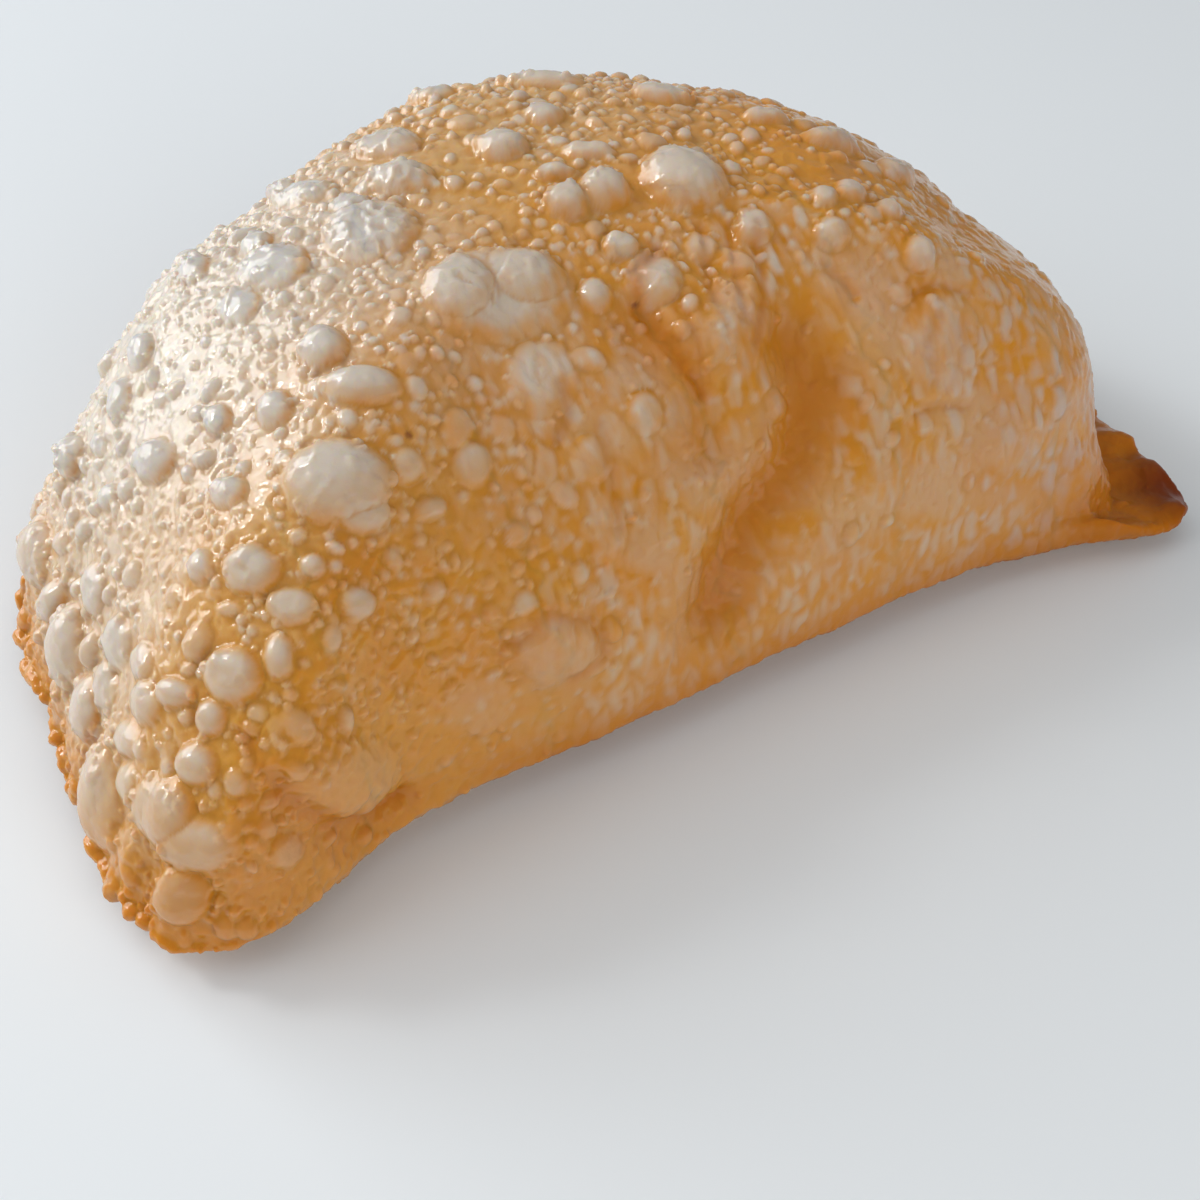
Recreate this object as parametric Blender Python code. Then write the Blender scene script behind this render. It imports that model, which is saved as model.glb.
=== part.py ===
"""A cheburek: one deep-fried half-moon turnover, puffed up and covered in blisters.

It lies as it was served. X runs along the folded edge towards the thin right tip, Y runs from the
folded edge across to the sealed rim, and Z is up. The origin is under the middle of its bounding box,
on the surface that it rests on. It is solid all through, because it hasn't been cut.
"""

import math

import bmesh
import bpy
import numpy as np

MM = 0.001

# Driving dimensions, in millimetres.
CREST_HEIGHT = 71.0
CREST = (0.0, 58.0)  # along and across, measured from the middle of the folded edge
FOLD_EDGE_HEIGHT = 8.0  # the widest line of the rounded fold, above the table
FOLD_EDGE_HALF = 6.0
RIM_EDGE_HEIGHT = 5.0  # the same line where the two layers are pressed together
RIM_EDGE_HALF = 1.7
RIM_WIDTH = 4.5
LEFT_RIM_WIDTH = 1.2  # at the left end the blistered skin runs almost to the edge
LEFT_END = (-95.0, -50.0)  # along: where the rim has its two widths
TIP_WIDTH = 10.0  # how much wider the pressed rim is at the right tip
TIP_SPREAD = 28.0
FOLD_START_LEFT = 30.0  # how far from each tip the fold has become round
FOLD_START_RIGHT = 45.0
FOOT_SHARE = 0.42  # the flat foot's reach, as a share of the outline's
BELLY_RISE = 2.6  # how far the underside has risen at the outline
FRILL = 0.55  # how far the sealed rim strays in and out, and a little more up and down
TRIANGLES = 11700

# The widest line, seen from above: along and across. The first point is the right tip, and from the
# left tip on it is the folded edge.
SEALED_LINE = [
    (97, -4), (98, 15), (101, 39), (98, 65), (84, 91), (61, 114), (35, 130), (6, 138),
    (-25, 131), (-53, 117), (-78, 96), (-97, 75), (-102, 50), (-103, 27), (-105, 4),
]  # fmt: skip
FOLDED_LINE = [(-91, -9), (-59, -1), (-19, -1), (19, -1), (57, -2), (85, -10)]

# Sections through the dome, from crest to edge: fullness and roundness of a superellipse.
FOLD_SECTION = (2.0, 0.5)
RIM_SECTION = (3.4, 0.78)
EDGE_SHARPNESS = 30.0
BELLY_SHARPNESS = 5.0

# The largest blisters: along, across and up, then length, width, turn in degrees and height.
BLISTERS = [
    (-30, 36, 70, 13, 11, 60, 4.0), (-20, 34, 69, 14, 11, 20, 4.2), (15, 44, 70, 15, 13, 50, 3.8),
    (-5, 66, 70, 10, 8, 65, 2.8), (5, 71, 70, 9, 6, 60, 2.2), (0, 46, 71, 9, 7, 50, 3.2),
    (-6, 46, 71, 8, 6, 55, 2.6), (-24, 23, 62, 12, 10, 50, 2.0), (-22, 79, 67, 15, 10, 80, 2.6),
    (-26, 66, 69, 13, 9, 80, 2.6), (-35, 57, 69, 17, 13, 75, 3.2), (-51, 38, 65, 10, 7, -85, 2.6),
    (-50, 28, 65, 11, 6, -40, 2.2), (-60, 17, 60, 14, 12, -45, 4.4), (-74, 15, 52, 10, 7, -50, 2.6),
    (-82, 6, 43, 9, 7, -40, 2.8), (-76, 47, 48, 11, 8, -65, 2.8), (-99, 47, 14, 15, 8, -65, 3.0),
    (-90, 3, 32, 9, 6, -35, 2.2), (-96, 4, 22, 17, 9, -35, 3.2), (-99, -2, 13, 10, 8, 20, 3.0),
    (0, 29, 67, 12, 9, 50, 2.8), (20, 31, 67, 9, 7, 40, 2.2), (45, 20, 60, 8, 6, 40, 1.9),
    (44, 11, 49, 22, 14, 80, 3.2), (-85, 60, 40, 12, 8, 80, 2.2), (60, 60, 62, 12, 9, 20, 1.6),
    (40, 95, 58, 14, 10, 30, 2.8), (-10, 112, 50, 13, 10, 0, 2.8), (-55, 95, 48, 12, 9, 60, 2.6),
    (78, 55, 44, 11, 8, 70, 2.4),
]  # fmt: skip

# Broad, soft swellings of the whole skin, in the same terms. A negative height is a hollow.
SWELLINGS = [
    (-72, -2, 26, 38, 22, -50, 2.8), (-34, 2, 32, 34, 24, -65, 2.6), (4, 21, 62, 30, 20, 60, 3.0),
    (14, 20, 61, 30, 17, 60, 2.4), (62, 4, 36, 40, 24, 20, 1.8), (-101, 28, 8, 26, 9, 75, 1.0),
    (76, 22, 37, 62, 50, 0, 6.2), (-56, 86, 52, 60, 40, 30, 3.0), (30, 55, 70, 60, 30, 90, -1.8),
    (87, 4, 20, 24, 20, 80, -2.0), (95, 44, 38, 44, 36, 80, -2.2),
]  # fmt: skip

# Creases, each a run of points along its bottom, then its width and depth.
CREASES = [
    ([(-6, 26, 65), (-1, 17, 58), (-1, 9, 49)], 4.5, 2.4),
    ([(19, 17, 58), (21, 12, 52), (14, 5, 42), (4, 3, 37), (-2, 1, 29), (-4, 0, 22)], 6.5, 4.6),
    ([(39, 15, 56), (45, 17, 58), (51, 14, 56)], 2.0, 1.0),
    ([(-84, -5, 30), (-80, -5, 20), (-70, -3, 13), (-62, -1, 13)], 4.0, 1.8),
    ([(-99, 12, 18), (-98, 3, 16), (-95, -4, 17)], 3.0, 1.8),
]

# Smaller blisters, scattered over the skin.
SEED = 20
SMALL_BLISTERS = 260
SMALL_LENGTH = (4.5, 8.5)
SMALL_ASPECT = (0.65, 1.0)
SMALL_HEIGHT = 0.24  # as a share of the length

CRUST_COLOUR = (0.72, 0.42, 0.14, 1.0)
CRUST_ROUGHNESS = 0.38


def clear_scene():
    for thing in list(bpy.data.objects):
        bpy.data.objects.remove(thing)


def smooth(x):
    x = np.clip(x, 0, 1)
    return x * x * (3 - 2 * x)


def closed_curve(corners, steps=40):
    """Points along a smooth closed curve through the corners, with steps of them to each corner."""
    corners = np.array(corners, float)
    share = (np.arange(steps) / steps)[None, :, None]
    before, start, end, after = (np.roll(corners, shift, 0)[:, None] for shift in (1, 0, -1, -2))
    curve = 2 * start + (end - before) * share
    curve = curve + (2 * before - 5 * start + 4 * end - after) * share**2
    curve = curve + (3 * start - before - 3 * end + after) * share**3
    return (curve / 2).reshape(-1, 2)


class Outline:
    """The widest line as a reach from the crest in each direction, and what changes around it."""

    def __init__(self):
        line = closed_curve(SEALED_LINE + FOLDED_LINE)
        steps = np.hypot(*(np.roll(line, -1, 0) - line).T)
        run = np.concatenate([[0], np.cumsum(steps)[:-1]])
        around = steps.sum()
        left_tip = run[(len(SEALED_LINE) - 1) * 40]
        from_left = np.clip(run - left_tip, 0, None)
        fold = smooth(from_left / FOLD_START_LEFT) * smooth((around - run) / FOLD_START_RIGHT)
        from_tip = np.minimum(run, around - run)
        left_share = smooth((LEFT_END[1] - line[:, 0]) / (LEFT_END[1] - LEFT_END[0]))
        width = RIM_WIDTH + (LEFT_RIM_WIDTH - RIM_WIDTH) * left_share
        spokes = line - np.array(CREST)
        self.turn = np.arctan2(spokes[:, 1], spokes[:, 0])
        self.reach = np.hypot(spokes[:, 0], spokes[:, 1])
        self.fold = fold
        self.run = run
        self.rim = width * (1 - fold) + TIP_WIDTH * np.exp(-((from_tip / TIP_SPREAD) ** 2))

    def at(self, turn, values):
        return np.interp(turn, *self.sorted(values), period=2 * math.pi)

    def sorted(self, values):
        order = np.argsort(self.turn)
        return self.turn[order], values[order]


def frill(run, start):
    """How far the sealed rim strays, by the distance run around it: waves that never fall in step."""
    lengths = ((47.0, 1.2), (21.0, 1.0), (12.3, 0.8), (8.1, 0.6))
    waves = (share * np.sin(2 * math.pi * run / length + start * length) for length, share in lengths)
    return FRILL * sum(waves)


def turnover_form(ball):
    """Moves the points of a unit ball to the smooth turnover, without its blisters."""
    outline = Outline()
    turn = np.arctan2(ball[:, 1], ball[:, 0])
    share = np.clip(np.hypot(ball[:, 0], ball[:, 1]), 0, 1)
    reach = outline.at(turn, outline.reach)
    fold = outline.at(turn, outline.fold)
    run = outline.at(turn, outline.run)
    at_rim = (1 - fold) * smooth((share - 0.82) / 0.18)
    reach = reach + at_rim * frill(run, 1.0)
    along = CREST[0] + reach * share * np.cos(turn)
    across = CREST[1] + reach * share * np.sin(turn)

    edge_height = RIM_EDGE_HEIGHT + (FOLD_EDGE_HEIGHT - RIM_EDGE_HEIGHT) * fold
    edge_half = RIM_EDGE_HALF + (FOLD_EDGE_HALF - RIM_EDGE_HALF) * fold
    fullness = RIM_SECTION[0] + (FOLD_SECTION[0] - RIM_SECTION[0]) * fold
    roundness = RIM_SECTION[1] + (FOLD_SECTION[1] - RIM_SECTION[1]) * fold
    dome_share = np.clip(share / (1 - outline.at(turn, outline.rim) / reach), 0, 1)
    dome = (1 - dome_share**fullness) ** roundness
    edge = np.sqrt(1 - share**EDGE_SHARPNESS)
    top = edge_height + edge_half * edge + (CREST_HEIGHT - edge_height - edge_half) * dome

    beyond_foot = np.clip((share - FOOT_SHARE) / (1 - FOOT_SHARE), 0, 1)
    belly = BELLY_RISE * smooth(beyond_foot)
    under_edge = 1 - np.sqrt(1 - beyond_foot**BELLY_SHARPNESS)
    bottom = belly + (edge_height - belly) * under_edge
    up = np.where(ball[:, 2] > 0, top, bottom) + at_rim * (0.8 + 1.3 * frill(run, 2.0))
    return np.stack([along, across, up], 1)


def tangents(normal, turn):
    """The two directions in the skin at a place, the first turned from level by an angle."""
    level = np.array([1.0, 0.0, 0.0]) - normal * normal[0]
    level = level / np.linalg.norm(level)
    upward = np.cross(normal, level)
    cosine, sine = math.cos(turn), math.sin(turn)
    return level * cosine + upward * sine, upward * cosine - level * sine


def nearness(skin, normals, place, length, width, turn):
    """0 at a place's centre and 1 at the end of its ellipse, for every point of the skin."""
    nearest = np.argmin(((skin - np.array(place)) ** 2).sum(1))
    normal = normals[nearest]
    offset = skin - skin[nearest]
    long_way, wide_way = tangents(normal, turn)
    depth = offset @ normal
    spread = (offset @ long_way / (length / 2)) ** 2 + (offset @ wide_way / (width / 2)) ** 2
    return np.sqrt(spread + (depth / (length / 2)) ** 2)


def blister_lift(near, height):
    return height * np.clip(1 - near**2, 0, None) ** 0.8


def swelling_lift(near, height):
    return height * smooth(1 - near)


def crease_lift(skin, path, width, depth):
    """A valley along straight runs between the path's points."""
    closest = np.full(len(skin), np.inf)
    for start, end in zip(path[:-1], path[1:]):
        start, step = np.array(start, float), np.array(end, float) - np.array(start, float)
        share = np.clip((skin - start) @ step / (step @ step), 0, 1)
        gap = np.linalg.norm(skin - start - share[:, None] * step, axis=1)
        closest = np.minimum(closest, gap)
    return -depth * np.exp(-((closest / width) ** 2))


def scattered_blisters(skin, normals):
    """Small blisters all over the skin: thinner on the underside, drawn out downwards on the right."""
    chance = np.random.default_rng(SEED)
    lift = np.zeros(len(skin))
    middles = []
    while len(middles) < SMALL_BLISTERS:
        middle = chance.integers(len(skin))
        place = skin[middle]
        length = chance.uniform(*SMALL_LENGTH)
        aspect = chance.uniform(*SMALL_ASPECT)
        turn = chance.uniform(0, math.pi)
        crowded = any(np.linalg.norm(place - other) < 0.5 * (length + size) for other, size in middles)
        if crowded or (normals[middle][2] < 0 and chance.random() < 0.6):
            continue
        if place[0] > 0 and place[1] < CREST[1]:
            turn = math.pi / 2
            aspect = 0.55 * aspect
        middles.append((place, length))
        near = nearness(skin, normals, place, length, length * aspect, turn)
        height = SMALL_HEIGHT * length * aspect
        lift = np.maximum(lift, blister_lift(near, height))
    return lift


def blistered(skin, normals):
    """The skin with its swellings, creases and blisters, which all push it along its normals."""
    lift = np.zeros(len(skin))
    for *place, length, width, turn, height in SWELLINGS:
        near = nearness(skin, normals, place, length, width, math.radians(turn))
        lift += swelling_lift(near, height)
    for path, width, depth in CREASES:
        lift += crease_lift(skin, path, width, depth)
    raised = scattered_blisters(skin, normals)
    for *place, length, width, turn, height in BLISTERS:
        near = nearness(skin, normals, place, length, width, math.radians(turn))
        raised = np.maximum(raised, blister_lift(near, height))
    thin = smooth((skin[:, 2] - 0.5) / RIM_EDGE_HEIGHT)
    return skin + normals * ((lift + raised) * thin)[:, None]


def make_crust_material():
    material = bpy.data.materials.new("fried crust")
    material.use_nodes = True
    shader = material.node_tree.nodes["Principled BSDF"]
    shader.inputs["Base Color"].default_value = CRUST_COLOUR
    shader.inputs["Roughness"].default_value = CRUST_ROUGHNESS
    shader.inputs["Metallic"].default_value = 0.0
    return material


def read_vectors(mesh, attribute):
    values = np.empty(3 * len(mesh.vertices), np.float32)
    mesh.vertices.foreach_get(attribute, values)
    return values.reshape(-1, 3).astype(float)


def write_points(mesh, points):
    mesh.vertices.foreach_set("co", points.astype(np.float32).ravel())
    mesh.update()


def make_turnover():
    mesh = bpy.data.meshes.new("cheburek")
    ball = bmesh.new()
    bmesh.ops.create_icosphere(ball, subdivisions=7, radius=1.0)
    ball.to_mesh(mesh)
    ball.free()

    write_points(mesh, turnover_form(read_vectors(mesh, "co")))
    skin = blistered(read_vectors(mesh, "co"), read_vectors(mesh, "normal"))
    skin[:, 2] = np.clip(skin[:, 2], 0, None)
    middle = (skin.max(0) + skin.min(0)) / 2
    write_points(mesh, (skin - [middle[0], middle[1], 0]) * MM)

    turnover = bpy.data.objects.new("cheburek", mesh)
    bpy.context.scene.collection.objects.link(turnover)
    mesh.materials.append(make_crust_material())
    mesh.shade_smooth()
    thinned = turnover.modifiers.new("thinned to a light mesh", "DECIMATE")
    thinned.ratio = TRIANGLES / len(mesh.polygons)


clear_scene()
make_turnover()
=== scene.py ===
"""The finished look of one cheburek: a fried half-moon turnover with a glossy, blistered crust."""

import math

import bpy
import numpy as np
from mathutils import Matrix, Vector, kdtree


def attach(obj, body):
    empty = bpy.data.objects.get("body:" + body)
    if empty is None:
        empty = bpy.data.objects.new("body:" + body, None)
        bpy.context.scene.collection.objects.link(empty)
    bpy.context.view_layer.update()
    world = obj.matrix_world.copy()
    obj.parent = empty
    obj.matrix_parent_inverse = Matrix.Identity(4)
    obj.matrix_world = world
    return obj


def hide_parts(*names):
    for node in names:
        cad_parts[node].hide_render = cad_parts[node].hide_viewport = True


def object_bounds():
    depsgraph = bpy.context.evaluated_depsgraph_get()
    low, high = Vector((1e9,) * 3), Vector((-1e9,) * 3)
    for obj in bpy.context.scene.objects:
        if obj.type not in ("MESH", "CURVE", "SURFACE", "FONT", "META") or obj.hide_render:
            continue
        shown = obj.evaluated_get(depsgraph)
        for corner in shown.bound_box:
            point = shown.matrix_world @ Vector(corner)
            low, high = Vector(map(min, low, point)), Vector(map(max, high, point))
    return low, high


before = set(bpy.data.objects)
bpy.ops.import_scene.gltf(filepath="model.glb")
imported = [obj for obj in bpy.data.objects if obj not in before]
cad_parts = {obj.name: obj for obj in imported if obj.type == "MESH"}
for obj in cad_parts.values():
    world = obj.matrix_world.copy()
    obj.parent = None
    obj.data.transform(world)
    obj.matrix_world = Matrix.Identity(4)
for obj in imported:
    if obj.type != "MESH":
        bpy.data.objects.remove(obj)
cad_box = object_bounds()

# ---------------------------------------------------------------- the viewpoint
# Someone at the table looks down on the turnover, past the folded edge and towards its right end.
# The blisters that the photograph shows are placed by where they are seen, so the view comes first.

MM = 0.001
PHOTO_SIDE = 1200  # pixels
LENS = 54.0
SENSOR = 36.0
VIEW_AZIMUTH = math.radians(-32.0)
VIEW_ELEVATION = math.radians(44.925)
VIEW_ROLL = math.radians(1.06)
FOLD_MIDDLE = np.array([1.65, -64.14, 0.0])  # the middle of the folded edge, in the frame's millimetres
EYE_FROM_FOLD = np.array([-127.3, -160.7, 225.5])
eye = FOLD_MIDDLE + EYE_FROM_FOLD

level_right = Vector((math.cos(VIEW_AZIMUTH), math.sin(VIEW_AZIMUTH), 0))
towards_eye = Vector(
    (
        math.sin(VIEW_AZIMUTH) * math.cos(VIEW_ELEVATION),
        -math.cos(VIEW_AZIMUTH) * math.cos(VIEW_ELEVATION),
        math.sin(VIEW_ELEVATION),
    )
)
level_up = towards_eye.cross(level_right)
view_right = level_right * math.cos(VIEW_ROLL) + level_up * math.sin(VIEW_ROLL)
view_up = level_up * math.cos(VIEW_ROLL) - level_right * math.sin(VIEW_ROLL)

bpy.ops.object.select_all(action="DESELECT")
bpy.ops.object.camera_add()
camera = bpy.context.object
camera.name = "photo_camera"
camera.data.lens = LENS
camera.data.sensor_width = SENSOR
camera.data.clip_start = 0.01
columns = Matrix((view_right, view_up, towards_eye)).transposed().to_4x4()
camera.matrix_world = Matrix.Translation(Vector(eye) * MM) @ columns
bpy.context.scene.camera = camera

# ---------------------------------------------------------------- the dough's form
# One round sheet of thin dough is folded over its filling, pressed shut along the open edge, and
# fried until steam blows it up: a tall dome, round at the fold and thin at the sealed rim.

CREST_HEIGHT = 71.0
CREST = (0.0, 58.0)  # along the fold and across it, from the fold's middle
FOLD_EDGE_HEIGHT = 8.0
FOLD_EDGE_HALF = 6.0
RIM_EDGE_HEIGHT = 5.0
RIM_EDGE_HALF = 1.7
RIM_WIDTH = 4.5
LEFT_RIM_WIDTH = 1.2
LEFT_END = (-95.0, -50.0)
TIP_WIDTH = 10.0
TIP_SPREAD = 28.0
FOLD_START_LEFT = 30.0
FOLD_START_RIGHT = 45.0
FOOT_SHARE = 0.42
BELLY_RISE = 2.6
FRILL = 0.55
FRILL_WAVES = ((47.0, 1.2), (21.0, 1.0), (12.3, 0.8), (8.1, 0.6))  # the length and share of each
FRILL_STARTS = 0.82  # as a share of the way out from the crest
FRILL_TAKES = 0.18
RIM_LIFT = 0.8
RIM_WAVE = 1.3
SEALED_LINE = [
    (97, -4), (98, 15), (101, 39), (98, 65), (84, 91), (61, 114), (35, 130), (6, 138),
    (-25, 131), (-53, 117), (-78, 96), (-97, 75), (-102, 50), (-103, 27), (-105, 4),
]  # fmt: skip
FOLDED_LINE = [(-91, -9), (-59, -1), (-19, -1), (19, -1), (57, -2), (85, -10)]
FOLD_SECTION = (2.0, 0.5)
RIM_SECTION = (3.4, 0.78)
EDGE_SHARPNESS = 30.0
BELLY_SHARPNESS = 5.0
BALL_HALVINGS = 7
SKIN_MESH = 0.00042  # the side of the skin's faces, in metres
CURVE_STEPS = 40  # on each side of the outline


def smooth(x):
    """A soft step from 0 to 1."""
    x = np.clip(x, 0, 1)
    return x * x * (3 - 2 * x)


def closed_curve(corners):
    """A smooth closed line through the corners."""
    corners = np.array(corners, float)
    share = (np.arange(CURVE_STEPS) / CURVE_STEPS)[None, :, None]
    before, start, end, after = (np.roll(corners, shift, 0)[:, None] for shift in (1, 0, -1, -2))
    curve = 2 * start + (end - before) * share
    curve = curve + (2 * before - 5 * start + 4 * end - after) * share**2
    curve = curve + (3 * start - before - 3 * end + after) * share**3
    return (curve / 2).reshape(-1, 2)


def frill(run, start):
    """How far the sealed rim strays, by the distance run around it: waves that never fall in step."""
    waves = (share * np.sin(2 * math.pi * run / length + start * length) for length, share in FRILL_WAVES)
    return FRILL * sum(waves)


def outline_at(turn):
    """The outline's reach from the crest in each direction, and what changes around it: how far the
    edge is round like the fold, the distance run along it, and the width of the pressed rim."""
    line = closed_curve(SEALED_LINE + FOLDED_LINE)
    steps = np.hypot(*(np.roll(line, -1, 0) - line).T)
    run = np.concatenate([[0], np.cumsum(steps)[:-1]])
    around = steps.sum()
    from_left = np.clip(run - run[(len(SEALED_LINE) - 1) * CURVE_STEPS], 0, None)
    fold = smooth(from_left / FOLD_START_LEFT) * smooth((around - run) / FOLD_START_RIGHT)
    left_share = smooth((LEFT_END[1] - line[:, 0]) / (LEFT_END[1] - LEFT_END[0]))
    width = RIM_WIDTH + (LEFT_RIM_WIDTH - RIM_WIDTH) * left_share
    from_tip = np.minimum(run, around - run)
    rim = width * (1 - fold) + TIP_WIDTH * np.exp(-((from_tip / TIP_SPREAD) ** 2))
    spokes = line - np.array(CREST)
    reach = np.hypot(*spokes.T)
    line_turn = np.arctan2(spokes[:, 1], spokes[:, 0])
    order = np.argsort(line_turn)
    columns = (reach, fold, run, rim)
    return [np.interp(turn, line_turn[order], column[order], period=2 * math.pi) for column in columns]


def turnover_form(ball):
    """Moves the points of a unit ball to the smooth turnover."""
    turn = np.arctan2(ball[:, 1], ball[:, 0])
    share = np.clip(np.hypot(ball[:, 0], ball[:, 1]), 0, 1)
    reach, fold, run, rim = outline_at(turn)
    at_rim = (1 - fold) * smooth((share - FRILL_STARTS) / FRILL_TAKES)
    reach = reach + at_rim * frill(run, 1.0)
    along = CREST[0] + reach * share * np.cos(turn)
    across = CREST[1] + reach * share * np.sin(turn)

    edge_height = RIM_EDGE_HEIGHT + (FOLD_EDGE_HEIGHT - RIM_EDGE_HEIGHT) * fold
    edge_half = RIM_EDGE_HALF + (FOLD_EDGE_HALF - RIM_EDGE_HALF) * fold
    fullness = RIM_SECTION[0] + (FOLD_SECTION[0] - RIM_SECTION[0]) * fold
    roundness = RIM_SECTION[1] + (FOLD_SECTION[1] - RIM_SECTION[1]) * fold
    dome = (1 - np.clip(share / (1 - rim / reach), 0, 1) ** fullness) ** roundness
    edge = np.sqrt(1 - share**EDGE_SHARPNESS)
    top = edge_height + edge_half * edge + (CREST_HEIGHT - edge_height - edge_half) * dome

    beyond_foot = np.clip((share - FOOT_SHARE) / (1 - FOOT_SHARE), 0, 1)
    belly = BELLY_RISE * smooth(beyond_foot)
    under_edge = 1 - np.sqrt(1 - beyond_foot**BELLY_SHARPNESS)
    bottom = belly + (edge_height - belly) * under_edge
    up = np.where(ball[:, 2] > 0, top, bottom) + at_rim * (RIM_LIFT + RIM_WAVE * frill(run, 2.0))
    return np.stack([along, across, up], 1) + FOLD_MIDDLE


def read_vectors(mesh, attribute):
    """The places or the normals of a mesh's points, one row each."""
    values = np.empty(3 * len(mesh.vertices), np.float32)
    mesh.vertices.foreach_get(attribute, values)
    return values.reshape(-1, 3).astype(float)


def write_points(mesh, points):
    """Moves a mesh's points to places in millimetres."""
    mesh.vertices.foreach_set("co", (points * MM).astype(np.float32).ravel())
    mesh.update()


bpy.ops.mesh.primitive_ico_sphere_add(subdivisions=BALL_HALVINGS, radius=1.0)
crust = bpy.context.object
crust.name = "crust"
write_points(crust.data, turnover_form(read_vectors(crust.data, "co")))
even_faces = crust.modifiers.new("even_faces", "REMESH")
even_faces.mode = "VOXEL"
even_faces.voxel_size = SKIN_MESH
bpy.ops.object.modifier_apply(modifier=even_faces.name)
skin = read_vectors(crust.data, "co") / MM
normals = read_vectors(crust.data, "normal")

# ---------------------------------------------------------------- swellings, creases and big blisters
# Steam lifts the skin in broad soft swellings. Where it was pinched or let down it has creases, and
# where the top layer came away it has thin blisters, some of them wrinkled or fallen in as they cooled.

# Broad swellings: along, across and up, then length, width, turn in degrees and height.
SWELLINGS = [
    (-72, -2, 26, 38, 22, -50, 2.8), (-34, 2, 32, 34, 24, -65, 2.6), (4, 21, 62, 30, 20, 60, 3.0),
    (14, 20, 61, 30, 17, 60, 2.4), (62, 4, 36, 40, 24, 20, 1.8), (-101, 28, 8, 26, 9, 75, 1.0),
    (76, 22, 37, 62, 50, 0, 6.2), (-56, 86, 52, 60, 40, 30, 3.0), (30, 55, 70, 60, 30, 90, -1.8),
    (87, 4, 20, 24, 20, 80, -2.0), (95, 44, 38, 44, 36, 80, -2.2),
]  # fmt: skip

# Creases, each a run of places along its bottom, then its width and depth.
CREASES = [
    ([(-6, 26, 65), (-1, 17, 58), (-1, 9, 49)], 4.5, 2.4),
    ([(19, 17, 58), (21, 12, 52), (14, 5, 42), (4, 3, 37), (-2, 1, 29), (-4, 0, 22)], 6.5, 4.6),
    ([(39, 15, 56), (45, 17, 58), (51, 14, 56)], 2.0, 1.0),
    ([(-84, -5, 30), (-80, -5, 20), (-70, -3, 13), (-62, -1, 13)], 4.0, 1.8),
    ([(-99, 12, 18), (-98, 3, 16), (-95, -4, 17)], 3.0, 1.8),
]
DEEPEST_CREASE = 4.6

# Finer creases as they are seen: a run of pixels in the photograph, then width and depth.
SEEN_CREASES = [
    ([(657, 245), (634, 268), (640, 302), (674, 346), (703, 388)], 1.5, 1.3),
    ([(244, 732), (280, 792), (332, 824), (380, 812), (402, 800)], 1.7, 1.0),
    ([(908, 290), (938, 279), (970, 290)], 0.8, 0.4), ([(914, 411), (940, 402), (966, 405)], 1.0, 0.5),
    ([(934, 312), (924, 345), (931, 376)], 1.1, 0.3), ([(961, 320), (957, 352), (945, 390)], 1.1, 0.25),
    ([(700, 222), (703, 262), (712, 300)], 1.0, 0.6),
    ([(729, 222), (732, 270), (738, 315)], 1.0, 0.6), ([(754, 225), (758, 290), (750, 340)], 1.1, 0.6),
    ([(826, 260), (840, 272), (856, 290)], 1.0, 0.6), ([(560, 380), (566, 410), (556, 436)], 1.2, 0.6),
    ([(672, 300), (690, 330), (700, 372)], 1.0, 0.5), ([(600, 420), (606, 470), (618, 520)], 1.3, 0.5),
    ([(505, 640), (540, 606), (585, 612), (600, 650), (566, 672)], 1.5, 0.7),
]  # fmt: skip

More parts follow.
